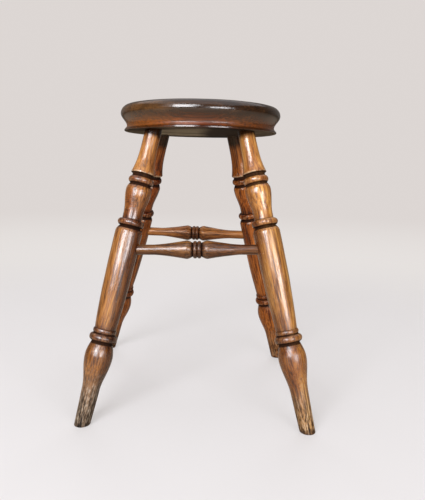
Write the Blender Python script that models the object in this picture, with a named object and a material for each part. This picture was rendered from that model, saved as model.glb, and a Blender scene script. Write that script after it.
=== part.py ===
"""Turned four-legged stool: a round moulded seat, four splayed legs, two stretchers and four tenon wedges.

Metres, +Z up. The origin is on the floor, at the middle of the box around the four feet.
The seat's own axis stands upright, and each leg is set out from that axis by where its centre line
leaves the underside of the seat and where it meets the floor.
"""
import math

import bmesh
import bpy
from mathutils import Matrix, Vector

# Seat
SEAT_HEIGHT = 0.467
SEAT_THICKNESS = 0.040
SEAT_DIAMETER = 0.2555
SEAT_NOSE_RADIUS = 0.013
SEAT_NECK_DIAMETER = 0.2366
SEAT_NECK_RISE = 0.0078
SEAT_LIP_DIAMETER = 0.2448
SEAT_LIP_RISE = 0.0024
SEAT_LIP_EDGE = 0.0008

# Legs, set out from the seat's axis: where the centre line leaves the seat's underside, where it meets
# the floor, and how far the turnings hang below their nominal place for the depth the tenon was driven to
LEGS = {
    "front_left": {"top": (-0.0690, -0.0680), "foot": (-0.1616, -0.1590), "hang": 0.0010},
    "front_right": {"top": (0.0690, -0.0690), "foot": (0.1635, -0.1700), "hang": -0.0030},
    "back_left": {"top": (-0.0680, 0.0685), "foot": (-0.1850, 0.1835), "hang": 0.0028},
    "back_right": {"top": (0.0575, 0.0690), "foot": (0.1585, 0.1450), "hang": 0.0},
}

# Lengths of the leg's turnings, from the seat down; the toe takes what is left above the floor
NECK_LENGTH = 0.0690
FLARE_EDGE_LENGTH = 0.0016
QUIRK_LENGTH = 0.0060
COLLAR_HEIGHT = 0.0100
VASE_SHOULDER_LENGTH = 0.0105
VASE_TAPER_LENGTH = 0.0360
WAIST_LENGTH = 0.0080
RING_HEIGHT = 0.0105
COLUMN_SHOULDER_LENGTH = 0.0090
COLUMN_LENGTH = 0.1450
FILLET_HEIGHT = 0.0062
FILLET_GAP = 0.0018
ANKLE_RING_HEIGHT = 0.0110
BULB_RISE_LENGTH = 0.0220
BULB_FALL_LENGTH = 0.0500

# Radii of the leg's turnings
TENON_HEAD_RADIUS = 0.0100
NECK_RADIUS = 0.0124
FLARE_RADIUS = 0.0179
COLLAR_RADIUS = 0.0187
VASE_RADIUS = 0.0190
WAIST_RADIUS = 0.0144
RING_RADIUS = 0.0196
COLUMN_RADIUS = 0.0199
COLUMN_FOOT_RADIUS = 0.0154
FILLET_RADIUS = 0.0170
FILLET_ROOT_RADIUS = 0.0160
ANKLE_RING_RADIUS = 0.0202
BULB_RADIUS = 0.0203
ANKLE_RADIUS = 0.0128
TOE_RADIUS = 0.0109
QUIRK_RADIUS = 0.0155

# Stretchers: the legs each one joins, then sizes from its middle outwards
STRETCHERS = {"front": ("front_left", "front_right"), "back": ("back_left", "back_right")}
STRETCHER_DROP = 0.1850
STRETCHER_BEAD_LENGTH = 0.0062
STRETCHER_BEAD_RADIUS = 0.0130
STRETCHER_QUIRK_RADIUS = 0.0102
STRETCHER_SHOULDER_LENGTH = 0.0095
STRETCHER_SWELL_RADIUS = 0.0138
STRETCHER_TAPER_LENGTH = 0.0490
STRETCHER_TENON_RADIUS = 0.0075
STRETCHER_TENON_PAST_AXIS = 0.0060

# Wedges in the heads of the leg tenons
WEDGE_LENGTH = 0.0260
WEDGE_HEAD_THICKNESS = 0.0030
WEDGE_TIP_THICKNESS = 0.0010

# Fits, and how finely the turnings are faceted
FIT = 0.0003
OVERRUN = 0.010
WELD = 0.000001
SEAT_SIDES = 60
LEG_SIDES = 20
STRETCHER_SIDES = 16

# How sharply the neck flares, the seat's lip turns out, the column and the stretchers taper, and the rounded
# edges fall away
FLARE_POWER = 4.0
LIP_POWER = 1.6
COLUMN_POWER = 2.8
STRETCHER_POWER = 1.4
ROUND_POWER = 2.0

SEAT_UNDERSIDE = SEAT_HEIGHT - SEAT_THICKNESS


def clear_scene():
    for thing in list(bpy.data.objects):
        bpy.data.objects.remove(thing, do_unlink=True)


def wood(name, colour, roughness):
    """Polished wood: one plain colour, as the stain reads from a step away."""
    material = bpy.data.materials.new(name)
    material.use_nodes = True
    shader = material.node_tree.nodes["Principled BSDF"]
    shader.inputs["Base Color"].default_value = (*colour, 1.0)
    shader.inputs["Roughness"].default_value = roughness
    shader.inputs["Metallic"].default_value = 0.0
    material.diffuse_color = (*colour, 1.0)
    return material


def parts_of(steps):
    """Equal shares of a run, from just after 0 up to 1."""
    return [step / steps for step in range(1, steps + 1)]


def bead(start, height, upper_root, crest, lower_root, steps=6):
    """Half-round bead: (distance, radius) points from its upper root to its lower one."""
    points = []
    for part in [0.0] + parts_of(steps):
        turn = part * math.pi
        root = upper_root if part < 0.5 else lower_root
        points.append((start + height * (1 - math.cos(turn)) / 2, root + (crest - root) * math.sin(turn)))
    return points


def rise(start, length, low, high, steps):
    """Rounded shoulder that climbs quickly from low and levels off at high."""
    return [(start + length * part, low + (high - low) * math.sin(part * math.pi / 2)) for part in parts_of(steps)]


def sweep(start, length, first, last, steps):
    """S-shaped run that leaves first and meets last without a corner."""
    return [(start + length * part, first + (last - first) * (1 - math.cos(part * math.pi)) / 2)
            for part in parts_of(steps)]


def bow(start, length, first, last, power, steps):
    """Run that leaves first without a corner and bends away ever faster towards last."""
    return [(start + length * part, first + (last - first) * part ** power) for part in parts_of(steps)]


def fade(start, length, first, last, power, steps):
    """Run that leaves first at a slope and levels off towards last."""
    return [(start + length * part, last + (first - last) * (1 - part) ** power) for part in parts_of(steps)]


def seat_profile():
    """The seat's moulded edge from the top down to the underside, as (height, radius)."""
    widest = SEAT_DIAMETER / 2
    neck = SEAT_NECK_DIAMETER / 2
    lip = SEAT_LIP_DIAMETER / 2
    widest_height = SEAT_HEIGHT - SEAT_NOSE_RADIUS
    neck_height = SEAT_UNDERSIDE + SEAT_NECK_RISE
    lip_height = SEAT_UNDERSIDE + SEAT_LIP_RISE
    edge_height = SEAT_UNDERSIDE + SEAT_LIP_EDGE
    points = [(SEAT_HEIGHT, widest - SEAT_NOSE_RADIUS)]
    for part in parts_of(6):
        turn = part * math.pi / 2
        points.append((widest_height + SEAT_NOSE_RADIUS * math.cos(turn),
                       widest - SEAT_NOSE_RADIUS * (1 - math.sin(turn))))
    points += sweep(widest_height, neck_height - widest_height, widest, neck, 6)
    points += bow(neck_height, lip_height - neck_height, neck, lip, LIP_POWER, 3)
    points.append((edge_height, lip))
    points += bow(edge_height, -SEAT_LIP_EDGE, lip, lip - SEAT_LIP_EDGE, ROUND_POWER, 3)
    return points


def tenon_radius(height):
    """Radius of the tapered tenon at a distance up the leg from its neck."""
    return NECK_RADIUS - (NECK_RADIUS - TENON_HEAD_RADIUS) * height / SEAT_THICKNESS


def leg_profile(head, floor):
    """The leg from the head of its tenon to past the floor, as (height along the leg, radius)."""
    points = [(-head, tenon_radius(head)), (0.0, NECK_RADIUS)]
    points += bow(0.0, NECK_LENGTH, NECK_RADIUS, FLARE_RADIUS, FLARE_POWER, 6)
    place = NECK_LENGTH
    points += bow(place, FLARE_EDGE_LENGTH, FLARE_RADIUS, QUIRK_RADIUS, ROUND_POWER, 3)
    place += QUIRK_LENGTH
    points += bead(place, COLLAR_HEIGHT, QUIRK_RADIUS, COLLAR_RADIUS, QUIRK_RADIUS)
    place += COLLAR_HEIGHT
    points += rise(place, VASE_SHOULDER_LENGTH, QUIRK_RADIUS, VASE_RADIUS, 3)
    place += VASE_SHOULDER_LENGTH
    points += sweep(place, VASE_TAPER_LENGTH, VASE_RADIUS, WAIST_RADIUS, 5)
    place += VASE_TAPER_LENGTH + WAIST_LENGTH
    points += bead(place, RING_HEIGHT, QUIRK_RADIUS, RING_RADIUS, QUIRK_RADIUS)
    place += RING_HEIGHT
    points += rise(place, COLUMN_SHOULDER_LENGTH, QUIRK_RADIUS, COLUMN_RADIUS, 3)
    place += COLUMN_SHOULDER_LENGTH
    points += bow(place, COLUMN_LENGTH, COLUMN_RADIUS, COLUMN_FOOT_RADIUS, COLUMN_POWER, 6)
    place += COLUMN_LENGTH
    points += bead(place, FILLET_HEIGHT, COLUMN_FOOT_RADIUS, FILLET_RADIUS, FILLET_ROOT_RADIUS, 4)[1:]
    place += FILLET_HEIGHT + FILLET_GAP
    points += bead(place, ANKLE_RING_HEIGHT, FILLET_ROOT_RADIUS, ANKLE_RING_RADIUS, QUIRK_RADIUS)
    place += ANKLE_RING_HEIGHT
    points += rise(place, BULB_RISE_LENGTH, QUIRK_RADIUS, BULB_RADIUS, 4)
    place += BULB_RISE_LENGTH
    points += sweep(place, BULB_FALL_LENGTH, BULB_RADIUS, ANKLE_RADIUS, 6)
    place += BULB_FALL_LENGTH
    points.append((max(floor, place) + OVERRUN, TOE_RADIUS))
    return [(-distance, radius) for distance, radius in points]


def stretcher_profile(half_length):
    """The stretcher from one tenon's end to the other, as (height along it, radius)."""
    shoulder = STRETCHER_BEAD_LENGTH + STRETCHER_SHOULDER_LENGTH
    quirk = STRETCHER_QUIRK_RADIUS
    swell = STRETCHER_SWELL_RADIUS
    half = bead(0.0, STRETCHER_BEAD_LENGTH, quirk, STRETCHER_BEAD_RADIUS, quirk)
    half += rise(STRETCHER_BEAD_LENGTH, STRETCHER_SHOULDER_LENGTH, quirk, swell, 4)
    half += fade(shoulder, STRETCHER_TAPER_LENGTH, swell, STRETCHER_TENON_RADIUS, STRETCHER_POWER, 6)
    half.append((half_length, STRETCHER_TENON_RADIUS))
    return half[::-1] + [(-distance, radius) for distance, radius in half[1:]]


def turned(profile, sides):
    """A solid turned about Z from (height, radius) points and closed on the axis at both ends."""
    shape = bmesh.new()
    outline = [(profile[0][0], 0.0)] + profile + [(profile[-1][0], 0.0)]
    verts = [shape.verts.new((radius, 0.0, height)) for height, radius in outline]
    edges = [shape.edges.new(pair) for pair in zip(verts, verts[1:])]
    bmesh.ops.spin(shape, geom=verts + edges, cent=(0, 0, 0), axis=(0, 0, 1),
                   angle=2 * math.pi, steps=sides, use_merge=True)
    bmesh.ops.remove_doubles(shape, verts=shape.verts[:], dist=WELD)
    bmesh.ops.recalc_face_normals(shape, faces=shape.faces[:])
    return shape


def tapered_slab(low, high, low_thickness, high_thickness, width):
    """A wedge-shaped slab between two heights, thin along X and wide along Y."""
    shape = bmesh.new()
    rings = []
    for height, thickness in ((low, low_thickness), (high, high_thickness)):
        corners = ((-1, -1), (1, -1), (1, 1), (-1, 1))
        rings.append([shape.verts.new((x * thickness / 2, y * width / 2, height)) for x, y in corners])
    shape.faces.new(rings[0])
    shape.faces.new(rings[1])
    for side in range(4):
        after = (side + 1) % 4
        shape.faces.new((rings[0][side], rings[0][after], rings[1][after], rings[1][side]))
    bmesh.ops.recalc_face_normals(shape, faces=shape.faces[:])
    return shape


def trim(shape, placement, height, keep):
    """Saws a shape level at a height above the floor; keep is +1 for what lies above, -1 for below."""
    inverse = placement.inverted()
    cut = bmesh.ops.bisect_plane(shape, geom=shape.verts[:] + shape.edges[:] + shape.faces[:], dist=WELD,
                                 plane_co=inverse @ Vector((0, 0, height)),
                                 plane_no=inverse.to_3x3() @ Vector((0, 0, -keep)), clear_outer=True)
    rim = [part for part in cut["geom_cut"] if isinstance(part, bmesh.types.BMEdge)]
    bmesh.ops.edgeloop_fill(shape, edges=rim)
    bmesh.ops.recalc_face_normals(shape, faces=shape.faces[:])


def add_object(name, shape, placement, stand):
    mesh = bpy.data.meshes.new(name)
    shape.to_mesh(mesh)
    shape.free()
    thing = bpy.data.objects.new(name, mesh)
    bpy.context.scene.collection.objects.link(thing)
    thing.parent = stand
    thing.matrix_local = placement
    return thing


def add_piece(name, shape, placement, stand, material):
    piece = add_object(name, shape, placement, stand)
    piece.data.materials.append(material)
    piece.data.shade_smooth()
    piece.data.set_sharp_from_angle(angle=math.radians(40))
    return piece


def add_cut(piece, name, shape, placement, stand):
    """Cuts a shape out of a piece with a Boolean that stays live."""
    cutter = add_object(name, shape, placement, stand)
    cutter.hide_render = True
    cutter.display_type = "WIRE"
    boolean = piece.modifiers.new(name, "BOOLEAN")
    boolean.operation = "DIFFERENCE"
    boolean.solver = "EXACT"
    boolean.object = cutter


def frame_along(origin, upwards):
    """Placement with its Z along a direction and its X as near to the world's X as that allows."""
    along = upwards.normalized()
    across = Vector((1, 0, 0)) if abs(along.x) < 0.9 else Vector((0, 1, 0))
    across = (across - along * across.dot(along)).normalized()
    turn = Matrix((across, along.cross(across), along)).transposed().to_4x4()
    return Matrix.Translation(origin) @ turn


class Leg:
    """Where one leg stands: its centre line and the placement that its turnings hang from."""

    def __init__(self, setting):
        self.top = Vector((*setting["top"], SEAT_UNDERSIDE))
        self.foot = Vector((*setting["foot"], 0.0))
        self.upwards = (self.top - self.foot).normalized()
        self.hang = setting["hang"]
        self.placement = frame_along(self.top - self.upwards * self.hang, self.upwards)
        self.head = SEAT_THICKNESS / self.upwards.z + self.hang
        self.length = (self.top - self.foot).length - self.hang

    def point(self, drop):
        """The point of the centre line at a distance down the leg from its turnings' zero."""
        return self.top - self.upwards * (self.hang + drop)


def build_seat(legs, stand, material):
    seat = add_piece("seat", turned(seat_profile(), SEAT_SIDES), Matrix(), stand, material)
    for name, leg in legs.items():
        head = leg.head + OVERRUN
        mortise = [(head, tenon_radius(head) + FIT), (0.0, NECK_RADIUS + FIT), (-OVERRUN, NECK_RADIUS + FIT)]
        add_cut(seat, "mortise_" + name, turned(mortise, LEG_SIDES), leg.placement, stand)


def build_leg(name, leg, stretcher, stand, material):
    """A turned leg, sawn level at both ends, sawn for its wedge and bored for its stretcher."""
    shape = turned(leg_profile(leg.head + OVERRUN, leg.length), LEG_SIDES)
    trim(shape, leg.placement, 0.0, 1)
    trim(shape, leg.placement, SEAT_HEIGHT, -1)
    piece = add_piece("leg_" + name, shape, leg.placement, stand, material)
    placement, half_length = stretcher
    socket = half_length + FIT
    bore = [(socket, STRETCHER_TENON_RADIUS + FIT), (-socket, STRETCHER_TENON_RADIUS + FIT)]
    add_cut(piece, "socket_" + name, turned(bore, STRETCHER_SIDES), placement, stand)
    kerf = wedge_shape(leg, FIT, 2 * NECK_RADIUS + OVERRUN)
    add_cut(piece, "kerf_" + name, kerf, leg.placement, stand)


def wedge_shape(leg, gap, width):
    """The wedge in a leg's own frame, grown by a gap on its faces and tip; it overruns the seat's top."""
    slope = (WEDGE_HEAD_THICKNESS - WEDGE_TIP_THICKNESS) / WEDGE_LENGTH
    tip = WEDGE_TIP_THICKNESS + 2 * gap
    head = WEDGE_HEAD_THICKNESS + 2 * gap + slope * OVERRUN
    return tapered_slab(leg.head - WEDGE_LENGTH - gap, leg.head + OVERRUN, tip, head, width)


def build_wedge(name, leg, stand, material):
    half_thickness = WEDGE_HEAD_THICKNESS / 2
    width = 2 * math.sqrt(TENON_HEAD_RADIUS ** 2 - half_thickness ** 2) - 2 * FIT
    shape = wedge_shape(leg, 0.0, width)
    trim(shape, leg.placement, SEAT_HEIGHT, -1)
    add_piece("wedge_" + name, shape, leg.placement, stand, material)


def stretcher_setting(legs, ends):
    """Placement of a stretcher between two legs, and half its length with both tenons."""
    left, right = (legs[end].point(STRETCHER_DROP) for end in ends)
    half_length = (right - left).length / 2 + STRETCHER_TENON_PAST_AXIS
    return frame_along((left + right) / 2, right - left), half_length


def build_stool():
    clear_scene()
    seat_wood = wood("seat_polished_wood", (0.062, 0.022, 0.010), 0.25)
    leg_wood = wood("leg_polished_wood", (0.230, 0.085, 0.026), 0.28)
    stretcher_wood = wood("stretcher_polished_wood", (0.180, 0.068, 0.024), 0.28)
    wedge_wood = wood("wedge_end_grain", (0.045, 0.018, 0.009), 0.40)
    legs = {name: Leg(setting) for name, setting in LEGS.items()}
    feet_x = [leg.foot.x for leg in legs.values()]
    feet_y = [leg.foot.y for leg in legs.values()]
    stand = bpy.data.objects.new("stand", None)
    stand.location = (-(min(feet_x) + max(feet_x)) / 2, -(min(feet_y) + max(feet_y)) / 2, 0.0)
    bpy.context.scene.collection.objects.link(stand)

    build_seat(legs, stand, seat_wood)
    for side, ends in STRETCHERS.items():
        placement, half_length = stretcher_setting(legs, ends)
        rail = turned(stretcher_profile(half_length), STRETCHER_SIDES)
        add_piece("stretcher_" + side, rail, placement, stand, stretcher_wood)
        for name in ends:
            build_leg(name, legs[name], (placement, half_length), stand, leg_wood)
            build_wedge(name, legs[name], stand, wedge_wood)


build_stool()
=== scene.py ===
import math

import bmesh
import bpy
import numpy as np
from mathutils import Matrix, Vector


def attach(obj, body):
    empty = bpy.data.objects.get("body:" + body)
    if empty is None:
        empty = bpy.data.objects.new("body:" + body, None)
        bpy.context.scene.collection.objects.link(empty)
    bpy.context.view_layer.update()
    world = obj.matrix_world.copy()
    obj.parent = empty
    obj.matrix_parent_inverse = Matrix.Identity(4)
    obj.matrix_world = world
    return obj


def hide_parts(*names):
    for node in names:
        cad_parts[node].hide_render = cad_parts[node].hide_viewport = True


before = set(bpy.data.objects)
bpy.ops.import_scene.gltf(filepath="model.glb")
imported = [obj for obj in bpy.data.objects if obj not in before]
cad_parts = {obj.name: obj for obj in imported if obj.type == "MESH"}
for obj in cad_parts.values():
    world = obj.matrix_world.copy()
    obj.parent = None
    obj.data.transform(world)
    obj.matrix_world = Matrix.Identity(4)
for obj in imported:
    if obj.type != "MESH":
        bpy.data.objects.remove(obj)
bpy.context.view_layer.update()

# How the stool is set out, as in the CAD: metres, +Z up, the feet's box centred on the origin
SEAT_AXIS = Vector((0.01075, -0.00675, 0.0))
SEAT_TOP = 0.467
SEAT_UNDERSIDE = 0.427
SEAT_THICKNESS = SEAT_TOP - SEAT_UNDERSIDE
SEAT_RADIUS = 0.12775
SEAT_NOSE_RADIUS = 0.013
SEAT_NECK_RADIUS = 0.1183
SEAT_NECK_HEIGHT = SEAT_UNDERSIDE + 0.0078
SEAT_LIP_RADIUS = 0.1224
SEAT_LIP_LEAN = 0.00015
SEAT_LIP_HEIGHT = SEAT_UNDERSIDE + 0.0024
SEAT_LIP_EDGE = 0.0008
SEAT_UNDERSIDE_RADIUS = SEAT_LIP_RADIUS - SEAT_LIP_EDGE
LEG_SETTINGS = {
    "front_left": {"top": (-0.0690, -0.0680), "foot": (-0.1616, -0.1590), "hang": 0.0010},
    "front_right": {"top": (0.0690, -0.0690), "foot": (0.1635, -0.1700), "hang": -0.0030},
    "back_left": {"top": (-0.0680, 0.0685), "foot": (-0.1850, 0.1835), "hang": 0.0028},
    "back_right": {"top": (0.0575, 0.0690), "foot": (0.1585, 0.1450), "hang": 0.0},
}
STRETCHER_ENDS = {"front": ("front_left", "front_right"), "back": ("back_left", "back_right")}
STRETCHER_DROP = 0.1850
STRETCHER_TENON_RADIUS = 0.0075
STRETCHER_TENON_PAST_AXIS = 0.0060
TENON_HEAD_RADIUS = 0.0100
NECK_RADIUS = 0.0124
TENON_TAPER = (NECK_RADIUS - TENON_HEAD_RADIUS) / SEAT_THICKNESS
WEDGE_LENGTH = 0.0260
WEDGE_HEAD_THICKNESS = 0.0030
WEDGE_TIP_THICKNESS = 0.0010

# A leg's turnings: where each starts below the seat and its length, then their radii
LEG_RUNS = {
    "flare": (0.0, 0.0690),
    "undercut": (0.0690, 0.0016),
    "collar": (0.0750, 0.0100),
    "vase_shoulder": (0.0850, 0.0105),
    "vase": (0.0955, 0.0360),
    "vase_foot": (0.1315, 0.0080),
    "ring": (0.1395, 0.0105),
    "column_shoulder": (0.1500, 0.0090),
    "column": (0.1590, 0.1450),
    "ankle_fillet": (0.3040, 0.0062),
    "ankle_ring": (0.3120, 0.0110),
    "bulb_shoulder": (0.3230, 0.0220),
    "bulb": (0.3450, 0.0500),
    "toe": (0.3950, 0.0430),
    "spare": (0.4380, 0.0320),
}
LEG_RADII = {
    "quirk": 0.0150,
    "flare": 0.0179,
    "collar": 0.0187,
    "vase": 0.0190,
    "waist": 0.0144,
    "ring": 0.0196,
    "column": 0.0199,
    "shin": 0.0154,
    "fillet": 0.0170,
    "fillet_root": 0.0160,
    "ankle": 0.0202,
    "bulb": 0.0203,
    "toe_top": 0.0128,
    "toe": 0.01148,
    "spare": 0.0105,
}
FLARE_EDGE = 0.0688
LEG_COLLARS = ((0.0710, 0.0870), (0.1375, 0.1520), (0.3030, 0.3260))

# Heights on a tenon: its blank's end, and two between which no ring of points disturbs the saw cut's rim
TENON_BLANK = 0.056
SAW_CLEAR_ABOVE = 0.0505
SAW_CLEAR_BELOW = 0.034

# A stretcher's turnings, from its middle outwards
RAIL_RUNS = {
    "bead": (0.0, 0.0062),
    "shoulder": (0.0062, 0.0095),
    "swelling": (0.0157, 0.0490),
    "tenon": (0.0647, 0.1),
}
RAIL_RADII = {"quirk": 0.0102, "bead": 0.0130, "swelling": 0.0138}

# Fits and fineness of the visible turnings
FIT = 0.00015
OVERRUN = 0.012
WELD = 0.000002
LEAST_WEIGHT = 0.02
SEAT_SIDES = 240
LEG_SIDES = 96
STRETCHER_SIDES = 64
CREASE = math.radians(38)

# Wear and dirt on the turnings, and the marks their finishes read, two of which place painted shade and a
# painted highlight; a leg's dirty grooves are (drop, half width, darkness)
LEG_CREST = 0.0012
RAIL_GROOVE = 0.0012
RAIL_CREST = 0.0010
LEG_REACH = 0.0032
RAIL_REACH = 0.0026
HOLLOW_STEP = 0.0002
LEG_DIRT = ((0.0724, 0.0034, 1.0), (0.0868, 0.0030, 0.85), (0.1390, 0.0014, 0.55), (0.1512, 0.0030, 1.0),
            (0.3042, 0.0010, 0.45), (0.3110, 0.0014, 0.75), (0.3236, 0.0030, 1.0))
TURNING_MARKS = ("groove", "crest", "shelter", "collar", "worn")
SEAT_MARKS = ("edge", "groove", "under", "satin", "sat_on", "lip", "overrun")


# Outlines for the lathe

def shares(steps):
    """Equal shares of a run, from just after 0 up to 1."""
    return [step / steps for step in range(1, steps + 1)]


def bead(start, height, upper_root, crest, lower_root, steps):
    """Half-round bead: (distance, radius) points from its upper root to its lower one."""
    points = []
    for share in [0.0] + shares(steps):
        turn = share * math.pi
        root = upper_root if share < 0.5 else lower_root
        points.append((start + height * (1 - math.cos(turn)) / 2, root + (crest - root) * math.sin(turn)))
    return points


def rise(start, length, low, high, steps):
    """Rounded shoulder that climbs quickly from low and levels off at high."""
    return [(start + length * share, low + (high - low) * math.sin(share * math.pi / 2))
            for share in shares(steps)]


def sweep(start, length, first, last, steps):
    """S-shaped run that leaves first and meets last without a corner."""
    return [(start + length * share, first + (last - first) * (1 - math.cos(share * math.pi)) / 2)
            for share in shares(steps)]


def bow(start, length, first, last, power, steps):
    """Run that leaves first and bends away ever faster towards last, or runs straight at power 1."""
    return [(start + length * share, first + (last - first) * share ** power) for share in shares(steps)]


def fade(start, length, first, last, power, steps):
    """Run that leaves first at a slope and levels off towards last."""
    return [(start + length * share, last + (first - last) * (1 - share) ** power)
            for share in shares(steps)]


def tenon_radius(rise_above):
    """Radius of a leg's tenon at a distance up from the seat's underside."""
    return NECK_RADIUS - TENON_TAPER * rise_above


def leg_outline():
    """A leg from above its tenon's head to below the floor, as (distance down, radius)."""
    runs = LEG_RUNS
    radii = LEG_RADII
    quirk = radii["quirk"]
    points = [(-up, tenon_radius(up)) for up in (TENON_BLANK, SAW_CLEAR_ABOVE, SAW_CLEAR_BELOW)]
    clear_radius = tenon_radius(SAW_CLEAR_BELOW)
    points += bow(-SAW_CLEAR_BELOW, SAW_CLEAR_BELOW, clear_radius, NECK_RADIUS, power=1.0, steps=8)
    points += bow(*runs["flare"], NECK_RADIUS, radii["flare"], power=4.0, steps=26)
    points += bow(*runs["undercut"], radii["flare"], quirk, power=2.0, steps=5)
    points += bead(*runs["collar"], quirk, radii["collar"], quirk, steps=16)
    points += rise(*runs["vase_shoulder"], quirk, radii["vase"], steps=9)
    points += sweep(*runs["vase"], radii["vase"], radii["waist"], steps=16)
    points += bow(*runs["vase_foot"], radii["waist"], radii["waist"], power=1.0, steps=4)
    points += bead(*runs["ring"], quirk, radii["ring"], quirk, steps=16)
    points += rise(*runs["column_shoulder"], quirk, radii["column"], steps=9)
    points += bow(*runs["column"], radii["column"], radii["shin"], power=2.8, steps=48)
    points += bead(*runs["ankle_fillet"], radii["shin"], radii["fillet"], radii["fillet_root"], steps=10)[1:]
    points += bead(*runs["ankle_ring"], radii["fillet_root"], radii["ankle"], quirk, steps=18)
    points += rise(*runs["bulb_shoulder"], quirk, radii["bulb"], steps=14)
    points += sweep(*runs["bulb"], radii["bulb"], radii["toe_top"], steps=20)
    points += bow(*runs["toe"], radii["toe_top"], radii["toe"], power=1.0, steps=13)
    points += bow(*runs["spare"], radii["toe"], radii["spare"], power=1.0, steps=1)
    return points


def stretcher_outline():
    """Half a stretcher from its middle out past its tenon, as (distance out, radius)."""
    runs = RAIL_RUNS
    radii = RAIL_RADII
    points = bead(*runs["bead"], radii["quirk"], radii["bead"], radii["quirk"], steps=14)
    points += rise(*runs["shoulder"], radii["quirk"], radii["swelling"], steps=10)
    points += fade(*runs["swelling"], radii["swelling"], STRETCHER_TENON_RADIUS, power=1.4, steps=26)
    points += bow(*runs["tenon"], STRETCHER_TENON_RADIUS, STRETCHER_TENON_RADIUS, power=1.0, steps=40)
    return points


def seat_outline():
    """The seat from the middle of its top, round its moulded edge, to the middle of its underside."""
    nose_foot = SEAT_TOP - SEAT_NOSE_RADIUS
    flat = SEAT_RADIUS - SEAT_NOSE_RADIUS
    points = [(SEAT_TOP, flat * share) for share in [0.0] + shares(24)]
    for share in shares(16):
        turn = share * math.pi / 2
        height = nose_foot + SEAT_NOSE_RADIUS * math.cos(turn)
        points.append((height, flat + SEAT_NOSE_RADIUS * math.sin(turn)))
    points += sweep(nose_foot, SEAT_NECK_HEIGHT - nose_foot, SEAT_RADIUS, SEAT_NECK_RADIUS, steps=18)
    lip_top = SEAT_LIP_RADIUS - SEAT_LIP_LEAN
    edge = SEAT_UNDERSIDE + SEAT_LIP_EDGE
    hollow = SEAT_LIP_HEIGHT - SEAT_NECK_HEIGHT
    points += bow(SEAT_NECK_HEIGHT, hollow, SEAT_NECK_RADIUS, lip_top, power=1.6, steps=10)
    points += bow(SEAT_LIP_HEIGHT, edge - SEAT_LIP_HEIGHT, lip_top, SEAT_LIP_RADIUS, power=1.0, steps=3)
    points += bow(edge, -SEAT_LIP_EDGE, SEAT_LIP_RADIUS, SEAT_UNDERSIDE_RADIUS, power=2.0, steps=6)
    points += [(SEAT_UNDERSIDE, SEAT_UNDERSIDE_RADIUS * (1 - share)) for share in shares(24)]
    return points


# Bench work

def clear_selection():
    bpy.ops.object.select_all(action="DESELECT")


def take_up(piece):
    """Makes a piece the only one selected."""
    clear_selection()
    piece.select_set(True)
    bpy.context.view_layer.objects.active = piece


def edit_all(piece):
    """Opens a piece in edit mode with all of it selected."""
    take_up(piece)
    bpy.ops.object.mode_set(mode="EDIT")
    bpy.ops.mesh.select_mode(type="VERT")
    bpy.ops.mesh.select_all(action="SELECT")


def end_edit():
    bpy.ops.object.mode_set(mode="OBJECT")


def name_piece(piece, name):
    """Gives a piece and its mesh one name."""
    piece.name = name
    piece.data.name = name


def tidy_skin():
    """Merges doubles and turns every face outwards, in edit mode."""
    bpy.ops.mesh.select_all(action="SELECT")
    bpy.ops.mesh.remove_doubles(threshold=WELD)
    bpy.ops.mesh.normals_make_consistent(inside=False)


def turn_on_lathe(name, outline, sides):
    """Turns a piece about Z: its outline of (height, radius) points is drawn out from one point and spun."""
    clear_selection()
    bpy.ops.mesh.primitive_plane_add(size=0.01)
    piece = bpy.context.active_object
    name_piece(piece, name)
    edit_all(piece)
    bpy.ops.mesh.merge(type="CENTER")
    height, radius = outline[0]
    bpy.ops.transform.translate(value=(radius, 0.0, height))
    for next_height, next_radius in outline[1:]:
        step = (next_radius - radius, 0.0, next_height - height)
        bpy.ops.mesh.extrude_region_move(TRANSFORM_OT_translate={"value": step})
        height = next_height
        radius = next_radius
    bpy.ops.mesh.select_all(action="SELECT")
    bpy.ops.mesh.spin(steps=sides, angle=2 * math.pi, center=(0, 0, 0), axis=(0, 0, 1))
    tidy_skin()
    end_edit()
    return piece


def place_piece(piece, placement):
    """Moves a piece to its place and leaves that place in its mesh."""
    take_up(piece)
    piece.matrix_world = placement
    bpy.ops.object.transform_apply(location=True, rotation=True, scale=True)


def copy_piece(blank, name, placement):
    """Another of a modelled piece, with a mesh of its own, set in its place."""
    take_up(blank)
    bpy.ops.object.duplicate(linked=False)
    piece = bpy.context.active_object
    name_piece(piece, name)
    place_piece(piece, placement)
    return piece


def saw_off(piece, place, outwards):
    """Saws away what lies beyond a plane and closes the cut."""
    edit_all(piece)
    bpy.ops.mesh.bisect(plane_co=place, plane_no=outwards, use_fill=True, clear_outer=True)
    end_edit()


def soften_rim(piece, height, width, segments):
    """Rounds over the rim of a level cut."""
    edit_all(piece)
    bpy.ops.mesh.select_mode(type="EDGE")
    bpy.ops.mesh.select_all(action="DESELECT")
    shape = bmesh.from_edit_mesh(piece.data)
    for edge in shape.edges:
        if all(abs(corner.co.z - height) < WELD for corner in edge.verts):
            edge.select_set(True)
    bmesh.update_edit_mesh(piece.data)
    bpy.ops.mesh.bevel(offset=width, segments=segments, affect="EDGES")
    end_edit()


def cut_out(piece, cutter):
    """Cuts the shape of another solid out of a piece, and throws the cutter away."""
    joint = piece.modifiers.new(cutter.name, "BOOLEAN")
    joint.operation = "DIFFERENCE"
    joint.solver = "EXACT"
    joint.object = cutter
    take_up(piece)
    bpy.ops.object.modifier_apply(modifier=joint.name)
    bpy.data.objects.remove(cutter, do_unlink=True)


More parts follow.
